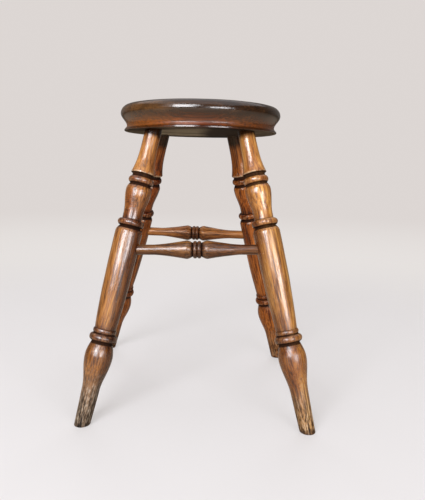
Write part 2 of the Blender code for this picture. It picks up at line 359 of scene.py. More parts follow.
def wear_down(piece, name, size, octaves, depth, group=""):
    """Pushes a piece's surface in and out in a cloudy pattern, over a vertex group or else all of it."""
    pattern = bpy.data.textures.new(name, "CLOUDS")
    pattern.noise_scale = size
    pattern.noise_depth = octaves
    dents = piece.modifiers.new(name, "DISPLACE")
    dents.texture = pattern
    dents.texture_coords = "LOCAL"
    dents.strength = depth
    dents.mid_level = 0.5
    dents.vertex_group = group
    take_up(piece)
    bpy.ops.object.modifier_apply(modifier=dents.name)


def corners_of(piece):
    """All the piece's points as one array."""
    flat = np.zeros(len(piece.data.vertices) * 3)
    piece.data.vertices.foreach_get("co", flat)
    return flat.reshape(-1, 3)


def unit(values):
    """Values held between 0 and 1."""
    return np.clip(values, 0, 1)


def mark_all(piece, marks):
    """Stores named numbers on each point of a piece for its material to read; a plain number goes on all."""
    count = len(piece.data.vertices)
    for name, values in marks.items():
        stored = piece.data.attributes.new(name, "FLOAT", "POINT")
        stored.data.foreach_set("value", np.broadcast_to(values, count).astype(np.float32))


def make_group(piece, name, weights):
    """Vertex group of a piece's points by their weights, with the faintest left out."""
    group = piece.vertex_groups.new(name=name)
    for number, weight in enumerate(weights):
        if weight > LEAST_WEIGHT:
            group.add([number], float(weight), "REPLACE")


def smooth(piece):
    take_up(piece)
    bpy.ops.object.shade_smooth_by_angle(angle=CREASE)


def frame_along(origin, upwards):
    """Placement with its Z along a direction and its X as near to the world's X as that allows."""
    along = upwards.normalized()
    across = Vector((1, 0, 0)) if abs(along.x) < 0.9 else Vector((0, 1, 0))
    across = (across - along * across.dot(along)).normalized()
    turn = Matrix((across, along.cross(across), along)).transposed().to_4x4()
    return Matrix.Translation(origin) @ turn


class Leg:
    """Where one leg stands: its centre line and the placement that its turnings hang from."""

    def __init__(self, setting):
        self.top = Vector((*setting["top"], SEAT_UNDERSIDE)) + SEAT_AXIS
        self.foot = Vector((*setting["foot"], 0.0)) + SEAT_AXIS
        self.upwards = (self.top - self.foot).normalized()
        self.hang = setting["hang"]
        self.placement = frame_along(self.top - self.upwards * self.hang, self.upwards)
        self.head = SEAT_THICKNESS / self.upwards.z + self.hang
        self.head_placement = self.placement @ Matrix.Translation(Vector((0, 0, self.head)))
        self.length = (self.top - self.foot).length - self.hang

    def point(self, drop):
        """The point of the centre line at a distance down the leg from its turnings' zero."""
        return self.top - self.upwards * (self.hang + drop)

    def local(self, piece):
        """The piece's points across the leg, through it and along it."""
        inverse = np.array(self.placement.inverted())
        return (corners_of(piece) @ inverse[:3, :3].T + inverse[:3, 3]).T


class Hollows:
    """Where a turned outline sinks below its neighbourhood or stands proud of it."""

    def __init__(self, outline, reach):
        places = [place for place, radius in outline]
        radii = [radius for place, radius in outline]
        self.grid = np.arange(min(places), max(places), HOLLOW_STEP)
        radius = np.interp(self.grid, places, radii)
        count = int(3 * reach / HOLLOW_STEP)
        bell = np.exp(-0.5 * (np.arange(-count, count + 1) * HOLLOW_STEP / reach) ** 2)
        bell /= bell.sum()
        padded = np.pad(radius, count, mode="edge")
        self.depth = np.convolve(padded, bell, mode="valid") - radius

    def groove(self, places, full):
        """0 to 1 by how far the outline sinks, reaching 1 at a full depth."""
        return unit(np.interp(places, self.grid, self.depth) / full)

    def crest(self, places, full):
        """0 to 1 by how far the outline stands proud."""
        return unit(-np.interp(places, self.grid, self.depth) / full)


# Shader wiring

class Flow:
    """One socket of a material's nodes. Arithmetic on flows adds Math nodes to the same material."""

    def __init__(self, tree, socket=None):
        self.tree = tree
        self.socket = socket

    def node(self, kind, settings, inputs, output=0):
        """Adds any node: its settings first, then the values or links of its sockets."""
        made = self.tree.nodes.new(kind)
        for name, value in settings.items():
            if name == "stops":
                set_stops(made.color_ramp, value)
            else:
                setattr(made, name, value)
        for name, value in inputs.items():
            if isinstance(value, Flow):
                self.tree.links.new(value.socket, made.inputs[name])
            else:
                made.inputs[name].default_value = value
        return Flow(self.tree, made.outputs[output])

    def calculate(self, operation, first, second):
        return self.node("ShaderNodeMath", {"operation": operation}, {0: first, 1: second})

    def __add__(self, other):
        return self.calculate("ADD", self, other)

    def __radd__(self, other):
        return self.calculate("ADD", other, self)

    def __sub__(self, other):
        return self.calculate("SUBTRACT", self, other)

    def __rsub__(self, other):
        return self.calculate("SUBTRACT", other, self)

    def __mul__(self, other):
        return self.calculate("MULTIPLY", self, other)

    def __rmul__(self, other):
        return self.calculate("MULTIPLY", other, self)

    def __truediv__(self, other):
        return self.calculate("DIVIDE", self, other)

    def __rtruediv__(self, other):
        return self.calculate("DIVIDE", other, self)

    def __pow__(self, other):
        return self.calculate("POWER", self, other)

    def __rpow__(self, other):
        return self.calculate("POWER", other, self)


def set_stops(ramp, stops):
    """Gives a colour ramp its (position, colour) stops."""
    while len(ramp.elements) > 1:
        ramp.elements.remove(ramp.elements[-1])
    ramp.elements[0].position = stops[0][0]
    ramp.elements[0].color = (*stops[0][1], 1.0)
    for position, colour in stops[1:]:
        ramp.elements.new(position).color = (*colour, 1.0)


def object_place(start):
    """Where a point lies in the stool's own space."""
    return start.node("ShaderNodeTexCoord", {}, {}, "Object")


def axis_of(at, axis):
    """One coordinate of a place: X, Y or Z."""
    return at.node("ShaderNodeSeparateXYZ", {}, {"Vector": at}, axis)


def stretched(at, factors, shift):
    """A place stretched by a factor along each axis and shifted, so that patterns run long or differ."""
    return at.node("ShaderNodeMapping", {"vector_type": "POINT"},
                   {"Vector": at, "Location": shift, "Scale": factors})


def noise(at, detail, roughness, output=0):
    """Cloudy pattern of a place; its Color output is three patterns in one."""
    return at.node("ShaderNodeTexNoise", {},
                   {"Vector": at, "Scale": 1.0, "Detail": detail, "Roughness": roughness}, output)


def ease(value, low, high):
    """0 below low, 1 above high and smooth between; the other way round if low is the higher."""
    if low < high:
        return value.node("ShaderNodeMapRange", {"interpolation_type": "SMOOTHSTEP"},
                          {"Value": value, "From Min": low, "From Max": high})
    return 1.0 - ease(value, high, low)


def tint(amount, first, second):
    """Colour that goes from first to second by an amount from 0 to 1."""
    return amount.node("ShaderNodeMix", {"data_type": "RGBA", "blend_type": "MIX"},
                       {0: amount, 6: first, 7: second}, 2)


def darken(amount, colour, filter_colour):
    """Colour seen through a stain, by an amount from 0 to 1."""
    return amount.node("ShaderNodeMix", {"data_type": "RGBA", "blend_type": "MULTIPLY"},
                       {0: amount, 6: colour, 7: filter_colour}, 2)


def ramp(value, stops):
    """Colour that follows a value through stops."""
    return value.node("ShaderNodeValToRGB", {"stops": stops}, {"Fac": value})


def attribute(flow, name):
    """A number that mark_all stored on the piece."""
    return flow.node("ShaderNodeAttribute", {"attribute_name": name}, {}, "Fac")


def rgb(red, green, blue):
    return (red, green, blue, 1.0)


def connect(shader, name, flow):
    flow.tree.links.new(flow.socket, shader.inputs[name])


# Stains and polishes, as linear colours; a ramp's stops go from the darkest grain to the palest
GOLDEN = [(0.36, (0.155, 0.044, 0.005)), (0.45, (0.420, 0.156, 0.025)),
          (0.53, (0.640, 0.288, 0.062)), (0.64, (0.800, 0.455, 0.150))]
BROWN = [(0.36, (0.082, 0.022, 0.003)), (0.45, (0.280, 0.095, 0.015)),
         (0.53, (0.475, 0.184, 0.038)), (0.64, (0.660, 0.320, 0.092))]
RUSSET = [(0.36, (0.095, 0.020, 0.002)), (0.45, (0.240, 0.061, 0.007)),
          (0.53, (0.385, 0.109, 0.016)), (0.64, (0.540, 0.182, 0.036))]
TAWNY = [(0.36, (0.080, 0.023, 0.004)), (0.45, (0.245, 0.082, 0.016)),
         (0.53, (0.400, 0.150, 0.034)), (0.64, (0.560, 0.245, 0.072))]
UMBER = [(0.36, (0.042, 0.013, 0.003)), (0.45, (0.122, 0.043, 0.009)),
         (0.53, (0.217, 0.085, 0.019)), (0.64, (0.348, 0.153, 0.044))]
WEDGE_BROWN = [(0.36, (0.035, 0.014, 0.005)), (0.45, (0.085, 0.034, 0.011)),
               (0.53, (0.135, 0.055, 0.018)), (0.64, (0.195, 0.088, 0.032))]
SEAT_DARK = [(0.34, (0.008, 0.003, 0.001)), (0.45, (0.018, 0.006, 0.002)),
             (0.54, (0.028, 0.010, 0.003)), (0.66, (0.062, 0.024, 0.008))]
SAT_ON = [(0.36, (0.036, 0.013, 0.004)), (0.46, (0.110, 0.043, 0.013)),
          (0.55, (0.195, 0.082, 0.026)), (0.66, (0.300, 0.140, 0.050))]
UNDER_BARE = [(0.40, (0.040, 0.032, 0.021)), (0.57, (0.410, 0.338, 0.241))]
EDGE_STOPS = [(0.0, (0.270, 0.090, 0.012)), (0.16, (0.252, 0.068, 0.005)), (0.42, (0.189, 0.041, 0.003)),
              (0.60, (0.144, 0.025, 0.002)), (0.78, (0.151, 0.038, 0.003)), (1.0, (0.140, 0.034, 0.004))]
EDGE_REACH = 0.12
GRAIN_LINE = rgb(0.38, 0.26, 0.17)
PORE = rgb(0.18, 0.11, 0.08)
HONEY = rgb(0.620, 0.275, 0.072)
STAIN = rgb(0.50, 0.32, 0.21)
COLUMN_BROWN = rgb(0.82, 0.84, 0.86)
PAINTED_SIDE_SHADE = rgb(0.27, 0.155, 0.10)
COLLAR_POLISH = rgb(0.30, 0.155, 0.085)
PAINTED_FLARE_GLINT = rgb(0.72, 0.50, 0.30)
LOW_GRIME = rgb(0.50, 0.40, 0.32)
TOE_STREAK = rgb(0.21, 0.16, 0.12)
TOE_SIDE_SHADE = rgb(0.36, 0.29, 0.23)
TOE_SPECK = rgb(0.09, 0.065, 0.045)
TOE_RIM = rgb(0.22, 0.17, 0.14)
CRAZED = rgb(0.25, 0.17, 0.13)
DIRT = rgb(0.012, 0.0045, 0.002)
BEAD_GRIME = rgb(0.30, 0.20, 0.14)
PAINTED_SEAT_SHADE = rgb(0.05, 0.03, 0.02)
HANDLED = rgb(0.165, 0.072, 0.021)
SEAT_PORE = rgb(0.35, 0.25, 0.20)
LIP_DARKENING = rgb(0.20, 0.17, 0.16)
UNDER_PATCH = rgb(0.10, 0.07, 0.05)
UNDER_RIM_DARK = rgb(0.16, 0.11, 0.08)
AMBER = rgb(1.0, 0.82, 0.62)
DAYLIT = rgb(1.0, 0.96, 0.92)
POLISH_IOR = 1.45
WAX_IOR = 1.58
WAX_ROUGHNESS = 0.46
MATT_ROUGHNESS = 0.8
MATT_SHINE = 0.1

# Grain of a billet about its pith, and patterns along it and on the surface as (stretch, detail, roughness)
PITH_ACROSS = 0.046
PITH_THROUGH = 0.030
RING_WIDTH = 0.0034
WANDER = (0.008, 0.008, 0.0)
GRAIN_PATTERNS = {
    "broad": ((110, 110, 3.5), 3.0, 0.55),
    "streak": ((440, 440, 16), 3.0, 0.6),
    "fine": ((1500, 1500, 60), 2.0, 0.5),
    "pores": ((720, 720, 24), 2.0, 0.6),
}
SURFACE_PATTERNS = {
    "stain": ((26, 26, 8), 3.0, 0.55),
    "scuff": ((190, 190, 120), 4.0, 0.65),
    "specks": ((420, 420, 110), 3.0, 0.6),
    "crazing": ((150, 150, 900), 2.0, 0.6),
}
SEAT_SEED = (3.1, 7.7, 1.9)
SEAT_GRAIN = Matrix.Translation(Vector((0.02, 0.01, 0.40))) @ Matrix.Rotation(math.radians(90), 4, "Y")

# What tells each turned piece's finish from the others. FAR puts its toe and its head out of reach
FAR = 9.0
PLAIN_LOOK = {
    "toe": rgb(0.3, 0.2, 0.1), "scuffed": rgb(0.3, 0.2, 0.1), "bare": 0.0, "neck": 0.0, "collar": 0.0,
    "beads": 0.0, "low": 0.0, "upper": 0.15, "mellow": 0.0, "browned": 0.0, "gloss": 0.11, "cast": DAYLIT,
}
FRONT_LEG = {**PLAIN_LOOK, "browned": 0.9, "gloss": 0.09, "shine": 0.95, "sheen": 0.65}
BACK_LEG = {
    **PLAIN_LOOK, "stops": RUSSET, "rubbed": rgb(0.40, 0.19, 0.08), "bare": 0.5, "lines": 0.95,
    "collar": 0.80, "crazing": 0.4, "low": 0.2, "shade": 0.021, "mellow": 0.05, "browned": 0.3,
    "shine": 0.5, "cast": AMBER, "sheen": 0.15,
}
RAIL = {
    **PLAIN_LOOK, "lines": 0.70, "shelter": 0.8, "crazing": 0.3, "beads": 0.8, "shade": 0.01, "sheen": 0.3,
}
LEG_LOOKS = {
    "front_left": {
        **FRONT_LEG, "seed": (1.3, 4.2, 8.8), "stops": BROWN, "rubbed": rgb(0.42, 0.24, 0.12),
        "toe": rgb(0.250, 0.190, 0.128), "scuffed": rgb(0.58, 0.50, 0.40), "bare": 0.75, "lines": 0.70,
        "neck": 0.55, "shelter": 0.95, "collar": 0.85, "crazing": 0.8, "low": 0.65, "shade": 0.013,
        "mellow": 0.02, "upper": 0.15,
    },
    "front_right": {
        **FRONT_LEG, "seed": (5.6, 0.7, 2.4), "stops": GOLDEN, "rubbed": rgb(0.50, 0.27, 0.12),
        "toe": rgb(0.345, 0.218, 0.106), "scuffed": rgb(0.60, 0.45, 0.30), "bare": 0.5, "lines": 0.50,
        "neck": 0.65, "shelter": 0.62, "collar": 0.50, "crazing": 0.3, "low": 0.05, "shade": 0.015,
        "mellow": 0.05, "upper": 0.30,
    },
    "back_left": {
        **BACK_LEG, "seed": (9.1, 6.5, 3.3), "shelter": 0.2,
        "toe": rgb(0.160, 0.105, 0.060), "scuffed": rgb(0.30, 0.22, 0.15),
    },
    "back_right": {
        **BACK_LEG, "seed": (2.7, 8.3, 6.1), "shelter": 0.0,
        "toe": rgb(0.180, 0.110, 0.055), "scuffed": rgb(0.32, 0.22, 0.13),
    },
}
RAIL_LOOKS = {
    "front": {**RAIL, "seed": (4.4, 2.2, 7.1), "stops": UMBER, "rubbed": rgb(0.36, 0.20, 0.10),
              "shine": 0.7},
    "back": {**RAIL, "seed": (6.2, 9.4, 0.8), "stops": TAWNY, "rubbed": rgb(0.36, 0.18, 0.08),
             "gloss": 0.20, "shine": 0.4, "cast": AMBER},
}
WEDGE_CHANGES = {"stops": WEDGE_BROWN, "gloss": 0.5, "shine": 0.2, "sheen": 0.0}


# Finishes

def new_wood(name, shine, cast):
    """An empty wood finish, polished and waxed: the material, its shader, and a flow to start from."""
    material = bpy.data.materials.new(name)
    material.use_nodes = True
    shader = material.node_tree.nodes["Principled BSDF"]
    shader.inputs["IOR"].default_value = POLISH_IOR
    shader.inputs["Specular IOR Level"].default_value = shine
    shader.inputs["Specular Tint"].default_value = cast
    shader.inputs["Coat Roughness"].default_value = WAX_ROUGHNESS
    shader.inputs["Coat IOR"].default_value = WAX_IOR
    return material, shader, Flow(material.node_tree)


def make_matt(shader, colour, share):
    """Takes the polish off a finish by a share from 0 to 1, where it wore away, is dirty or never was."""
    matt = colour.node("ShaderNodeBsdfPrincipled", {}, {
        "Base Color": colour, "Roughness": MATT_ROUGHNESS, "Specular IOR Level": MATT_SHINE})
    polished = Flow(colour.tree, shader.outputs["BSDF"])
    mixed = colour.node("ShaderNodeMixShader", {}, {0: share, 1: polished, 2: matt})
    colour.tree.links.new(mixed.socket, colour.tree.nodes["Material Output"].inputs["Surface"])


def grain_of(start, placement, seed):
    """Patterns of one straight-grained billet whose length lies along a placement's Z."""
    inverse = placement.inverted()
    local = start.node("ShaderNodeMapping", {"vector_type": "POINT"}, {
        "Vector": object_place(start), "Location": inverse.to_translation(), "Rotation": inverse.to_euler()})
    drift = noise(stretched(local, (24, 24, 6), seed), 2.0, 0.5, "Color")
    wander = start.node("ShaderNodeVectorMath", {"operation": "MULTIPLY_ADD"},
                        {0: drift, 1: WANDER, 2: local})
    across = axis_of(wander, "X") + PITH_ACROSS
    through = axis_of(wander, "Y") + PITH_THROUGH
    reach = (across ** 2.0 + through ** 2.0) ** 0.5
    grain = {"local": local, "rings": start.calculate("FRACT", reach / RING_WIDTH, 0.0)}
    for patterns, at in ((GRAIN_PATTERNS, wander), (SURFACE_PATTERNS, local)):
        for name, (factors, detail, roughness) in patterns.items():
            grain[name] = noise(stretched(at, factors, seed), detail, roughness)
    return grain


def turned_wood(name, placement, look, top, floor):
    """Varnished turned wood, with its head above top and its toe at floor along the placement's Z.

    It has streaky open grain, dark grooves, rubbed crests, crazed varnish and a scuffed toe, with painted
    shade on the side turned from the light and close under the seat, and a painted highlight along the
    flare's edge.
    """
    material, shader, start = new_wood(name, look["shine"], look["cast"])
    grain = grain_of(start, placement, look["seed"])
    along = axis_of(grain["local"], "Z")
    groove, crest, shelter, collars, flare_glint_band = (attribute(start, mark) for mark in TURNING_MARKS)
    column = ease(along, top - 0.145, top - 0.165)
    low = ease(along, floor + 0.175, floor + 0.110)
    toe = ease(along + 0.05 * grain["stain"], floor + 0.110, floor + 0.035)
    head = ease(along, top + 0.022, top + 0.036)

    # Grain and stain
    early = ease(grain["rings"], 0.55, 0.95) * ease(grain["rings"], 1.0, 0.96)
    pores = ease(grain["pores"], 0.52, 0.62) * (0.45 + 0.55 * early)
    lines = ease(grain["streak"], 0.50, 0.38)
    tone = 0.45 * grain["broad"] + 0.35 * grain["streak"] + 0.20 * grain["fine"]
    colour = ramp(tone, look["stops"])
    colour = darken(lines * look["lines"], colour, GRAIN_LINE)
    neck = ease(along, top - 0.085, top - 0.060) * ease(grain["stain"], 0.60, 0.40)
    colour = tint(neck * look["neck"], colour, HONEY)
    colour = darken(pores * 0.85, colour, PORE)
    colour = darken(ease(grain["stain"], 0.43, 0.68) * 0.85, colour, STAIN)
    colour = darken(column * look["browned"], colour, COLUMN_BROWN)

    # Painted shade on the side facing in under the stool, old polish round the collars, rubbed crests and a
    # painted highlight on the flare's edge
    # painted shade on the side facing in under the stool, fainter close under the seat
    reached = look["upper"] + (1.0 - look["upper"]) * ease(along, top - 0.075, top - 0.13)
    side_shading = shelter * look["shelter"] * (1.0 - 0.2 * low) * reached
    colour = darken(side_shading, colour, PAINTED_SIDE_SHADE)
    gathered = collars * look["collar"] * (0.55 + 0.45 * ease(grain["scuff"], 0.60, 0.42))
    colour = darken(gathered, colour, COLLAR_POLISH)
    rubbed = crest * ease(grain["scuff"], 0.50, 0.62)
    colour = tint(rubbed * 0.40, colour, look["rubbed"])
    # painted highlight: a pale line along the flare's lower edge, broken by the scuff pattern
    worn = flare_glint_band * ease(grain["scuff"], 0.38, 0.55)
    colour = tint(worn * 0.65, colour, PAINTED_FLARE_GLINT)

    # The lower leg and its scuffed toe
    colour = darken(low * look["low"], colour, LOW_GRIME)
    colour = tint(toe * look["bare"], colour, look["toe"])
    colour = tint(toe * ease(grain["specks"], 0.48, 0.38) * 0.55, colour, look["scuffed"])
    colour = darken(toe * ease(grain["streak"], 0.56, 0.42) * 0.9, colour, TOE_STREAK)
    # painted shade on the toe's side facing in under the stool
    colour = darken(side_shading * toe * 0.8, colour, TOE_SIDE_SHADE)
    specks = toe * ease(grain["specks"], 0.51, 0.60)
    colour = darken(specks * 0.9, colour, TOE_SPECK)
    rim = ease(along, floor + 0.008, floor + 0.002)
    colour = darken(rim * 0.75, colour, TOE_RIM)

    # Crazing, dirt in the grooves, and painted shade close under the seat, which also darkens the tenon
    # heads
    crazing = ease(grain["crazing"], 0.57, 0.63) * ease(grain["stain"], 0.50, 0.60) * (1.0 - toe)
    colour = darken(crazing * look["crazing"], colour, CRAZED)
    soot = ease(groove + 0.5 * grain["scuff"], 0.50, 0.90)
    colour = tint(soot * 0.9, colour, DIRT)
    middle = ease(start.calculate("ABSOLUTE", along, 0.0), 0.013, 0.006) * look["beads"]
    colour = darken(middle, colour, BEAD_GRIME)
    # painted shade under the seat, easing out down the leg; above the seat it also darkens the tenon heads
    shade = ease(along + 0.006 * grain["stain"], top - look["shade"], top - 0.35 * look["shade"])
    colour = darken(shade * (0.96 - 0.16 * head), colour, PAINTED_SEAT_SHADE)
    connect(shader, "Base Color", colour)

    # Gloss, wax and relief
    dull = ease(grain["scuff"], 0.50, 0.72)
    rough = look["gloss"] + look["mellow"] * column + 0.25 * pores + 0.15 * dull + 0.15 * toe
    connect(shader, "Roughness", rough + 0.06 * low + 0.4 * head)
    wax = (1.0 - soot) * (1.0 - 0.9 * side_shading) * (1.0 - 0.9 * shade) * (1.0 - 0.5 * pores)
    wax = wax * (0.7 + 0.3 * column) * (1.0 - 0.7 * toe) * (1.0 - 0.4 * low)
    connect(shader, "Coat Weight", wax * look["sheen"])
    height = 0.5 * grain["streak"] + 0.25 * grain["fine"] - 0.7 * pores - 0.4 * specks
    height = height + 0.3 * grain["scuff"] - 0.4 * crazing * look["crazing"]
    bump = start.node("ShaderNodeBump", {}, {"Strength": 0.3, "Distance": 0.0007, "Height": height})
    connect(shader, "Normal", bump)
    make_matt(shader, colour, 1.0 - (1.0 - soot) * (1.0 - 0.7 * toe) * (1.0 - 0.85 * head))
    return material


def seat_wood(name):
    """Dark polished board with its grain along X, a redder moulded edge and a dull underside."""
    material, shader, start = new_wood(name, 1.0, DAYLIT)
    grain = grain_of(start, SEAT_GRAIN, SEAT_SEED)
    place = object_place(start)
    across = axis_of(place, "X")
    height = axis_of(place, "Z")
    edge, groove, under, satin, sat_on, lip, overrun = (attribute(start, mark) for mark in SEAT_MARKS)

    # The board, browner where hands and clothes rubbed it
    early = ease(grain["rings"], 0.5, 0.95) * ease(grain["rings"], 1.0, 0.96)
    pores = ease(grain["pores"], 0.54, 0.68)
    tone = 0.50 * grain["broad"] + 0.35 * grain["streak"] + 0.15 * grain["fine"] - 0.03 * early
    colour = ramp(tone, SEAT_DARK)
    handled = ease(across + 0.05 * grain["stain"], 0.010, -0.030)
    handled = handled * (0.55 + 0.45 * ease(grain["broad"], 0.38, 0.62))
    handled = handled * ease(height, SEAT_TOP - 0.001, SEAT_TOP - 0.005)
    handled = handled * (0.35 + 0.65 * ease(height, SEAT_TOP - 0.0170, SEAT_TOP - 0.0125))
    colour = tint(handled * 0.62, colour, HANDLED)
    sat_on = sat_on * (0.45 + 0.55 * ease(grain["stain"], 0.62, 0.40))
    colour = tint(sat_on * 0.75, colour, ramp(tone, SAT_ON))
    band = ramp((across + EDGE_REACH) / (2 * EDGE_REACH), EDGE_STOPS)
    colour = tint(edge * (0.45 + 0.55 * ease(grain["streak"], 0.42, 0.58)), colour, band)
    colour = darken(pores * 0.7, colour, SEAT_PORE)
    # the lowest part of the lip is darker
    colour = darken(lip * 0.85, colour, LIP_DARKENING)

    # The bare underside, with a darker patch and darker towards its rim
    bare = ramp(tone, UNDER_BARE)
    patch = ease(across + 0.04 * grain["stain"], 0.022, 0.050) * ease(across, 0.095, 0.075)
    bare = darken(patch, bare, UNDER_PATCH)
    # darker towards the underside's rim
    overrun = overrun * (0.6 + 0.4 * ease(grain["stain"], 0.40, 0.60))
    bare = darken(overrun, bare, UNDER_RIM_DARK)
    colour = tint(under, colour, bare)
    connect(shader, "Base Color", colour)

    # Gloss and relief
    dull = ease(grain["scuff"], 0.48, 0.74)
    blurred = (1.0 - lip) * (0.10 * pores + 0.08 * dull)
    connect(shader, "Roughness", 0.12 + blurred + 0.25 * groove + 0.16 * satin)
    connect(shader, "Coat Weight", 0.1 * (1.0 - groove))
    relief = 0.5 * grain["streak"] + 0.2 * grain["fine"] - 0.6 * pores + 0.3 * grain["scuff"]
    bump = start.node("ShaderNodeBump", {}, {"Strength": 0.15, "Distance": 0.0004, "Height": relief})
    connect(shader, "Normal", bump)
    make_matt(shader, colour, 1.0 - (1.0 - under) * (1.0 - 0.8 * satin))
    return material


# The pieces

def make_seat(legs):
    """The moulded seat, bored through for the four tenons."""
    seat = turn_on_lathe("seat_board", seat_outline(), SEAT_SIDES)
    place_piece(seat, Matrix.Translation(SEAT_AXIS))
    wear_down(seat, "seat_ripple", size=0.045, octaves=2, depth=0.0004)
    for name, leg in legs.items():
        head = leg.head + OVERRUN
        bore = [(head, 0.0), (head, NECK_RADIUS + FIT - TENON_TAPER * head), (0.0, NECK_RADIUS + FIT),
                (-OVERRUN, NECK_RADIUS + FIT), (-OVERRUN, 0.0)]
        reamer = turn_on_lathe("reamer_" + name, bore, LEG_SIDES)
        place_piece(reamer, leg.placement)
        cut_out(seat, reamer)
    mark_all(seat, seat_marks(seat))
    smooth(seat)
    return seat


def seat_marks(seat):
    """Where the seat's red edge, groove, underside, satin top, lip and darker underside rim lie, from 0 to
    1.
    """
    corners = corners_of(seat) - np.array(SEAT_AXIS)
    radius = np.hypot(corners[:, 0], corners[:, 1])
    height = corners[:, 2]
    rim = radius > SEAT_NECK_RADIUS - 0.0008
    under = (height < SEAT_UNDERSIDE + 0.0004) & (radius < SEAT_UNDERSIDE_RADIUS + 0.0003)
    satin = unit((0.1195 - radius) / 0.004) * (height > SEAT_TOP - 0.0012)
    return {
        "edge": unit((SEAT_TOP - 0.0160 - height) / 0.0140) ** 1.65 * rim,
        "groove": np.exp(-((height - SEAT_NECK_HEIGHT + 0.0010) / 0.0032) ** 2) * rim,
        "under": under,
        "satin": satin,
        "sat_on": satin * (0.35 + 0.65 * unit((0.108 - radius) / 0.060)),
        "lip": unit((SEAT_LIP_HEIGHT + 0.0022 - height) / 0.0016) * rim,
        "overrun": unit((radius - SEAT_UNDERSIDE_RADIUS + 0.046) / 0.015) * under,
    }


def wedge_blank(name, thickness_gap, width, placement):
    """A tapered slab, thin along X, that overruns its head upwards, set with its head in a placement."""
    clear_selection()
    bpy.ops.mesh.primitive_cube_add(size=1.0)
    slab = bpy.context.active_object
    name_piece(slab, name)
    edit_all(slab)
    slope = (WEDGE_HEAD_THICKNESS - WEDGE_TIP_THICKNESS) / WEDGE_LENGTH
    tip = WEDGE_TIP_THICKNESS + thickness_gap
    head = WEDGE_HEAD_THICKNESS + thickness_gap + slope * OVERRUN
    bpy.ops.transform.resize(value=(tip, width, WEDGE_LENGTH + OVERRUN))
    bpy.ops.transform.translate(value=(0, 0, (OVERRUN - WEDGE_LENGTH) / 2))
    shape = bmesh.from_edit_mesh(slab.data)
    bpy.ops.mesh.select_all(action="DESELECT")
    for face in shape.faces:
        face.select_set(face.normal.z > 0.9)
    bmesh.update_edit_mesh(slab.data)
    bpy.ops.transform.resize(value=(head / tip, 1, 1), center_override=(0, 0, 0))
    end_edit()
    place_piece(slab, placement)
    return slab


def make_leg(name, leg, blank, hollows, stretcher):
    """One turned leg, sawn level at both ends, worn, sawn for its wedge and bored for its stretcher."""
    piece = copy_piece(blank, "leg_turning_" + name, leg.placement)
    across, through, along = leg.local(piece)
    make_group(piece, "proud", hollows.crest(-along, LEG_CREST))
    wear_down(piece, "hand_wear", size=0.030, octaves=1, depth=0.0005)
    wear_down(piece, "knocks", size=0.0075, octaves=1, depth=0.0011, group="proud")
    saw_off(piece, (0, 0, 0), (0, 0, -1))
    saw_off(piece, (0, 0, SEAT_TOP), (0, 0, 1))
    soften_rim(piece, 0.0, width=0.0016, segments=4)
    soften_rim(piece, SEAT_TOP, width=0.0004, segments=2)
    cut_out(piece, wedge_blank("kerf_" + name, 2 * FIT, 2 * NECK_RADIUS + OVERRUN, leg.head_placement))
    placement, half_length = stretcher
    bore_radius = STRETCHER_TENON_RADIUS + FIT
    bore_half = half_length + FIT
    bore = [(bore_half, 0.0), (bore_half, bore_radius), (-bore_half, bore_radius), (-bore_half, 0.0)]
    bit = turn_on_lathe("bit_" + name, bore, STRETCHER_SIDES)
    place_piece(bit, placement)
    cut_out(piece, bit)
    across, through, along = leg.local(piece)
    mark_all(piece, {
        "groove": dirt_of(-along),
        "crest": hollows.crest(-along, LEG_CREST),
        # painted highlight along the flare's edge
        "worn": np.exp(-((-along - FLARE_EDGE) / 0.0011) ** 2),
        # painted shade on the side facing in under the stool
        "shelter": shaded_side_of(across, through, (SEAT_AXIS - leg.foot).normalized()),
        "collar": collars_of(-along),
    })
    smooth(piece)
    return piece


def shaded_side_of(across, through, inwards):
    """0 to 1 by how squarely a leg's points face in under the stool, where painted shade darkens them."""
    facing = (across * inwards.x + through * inwards.y) / np.maximum(np.hypot(across, through), 0.001)
    share = unit((facing + 0.55) / 0.7)
    return share * share * (3 - 2 * share)


def dirt_of(drops):
    """0 to 1 in the grooves of a leg, each as wide and dark as it is on the old stool."""
    dirt = np.zeros(len(drops))
    for place, half_width, darkness in LEG_DIRT:
        dirt = np.maximum(dirt, darkness * np.exp(-((drops - place) / half_width) ** 4))
    return dirt


def collars_of(drops):
    """0 to 1 over the collar, the ring and the ankle ring of a leg, where polish and dirt gathered."""
    gathered = np.zeros(len(drops))
    for first, last in LEG_COLLARS:
        outside = np.maximum(np.maximum(first - drops, drops - last), 0)
        gathered = np.maximum(gathered, np.exp(-(outside / 0.004) ** 2))
    return gathered


def make_stretcher(name, blank, hollows, placement, half_length):
    """One turned stretcher, worn and sawn to its length."""
    piece = copy_piece(blank, "stretcher_turning_" + name, placement)
    along = placement.to_3x3() @ Vector((0, 0, 1))
    middle = placement.to_translation()
    wear_down(piece, "rail_wear", size=0.026, octaves=1, depth=0.0004)
    saw_off(piece, middle + along * half_length, along)
    saw_off(piece, middle - along * half_length, -along)
    corners = corners_of(piece)
    places = np.abs((corners - np.array(middle)) @ np.array(along))
    mark_all(piece, {
        "groove": hollows.groove(places, RAIL_GROOVE),
        "crest": hollows.crest(places, RAIL_CREST),
        # painted shade: the stretcher's lower side is darker
        "shelter": unit(0.3 + (middle.z - corners[:, 2]) / 0.012),
        "collar": 0.0,
        "worn": 0.0,
    })
    smooth(piece)
    return piece


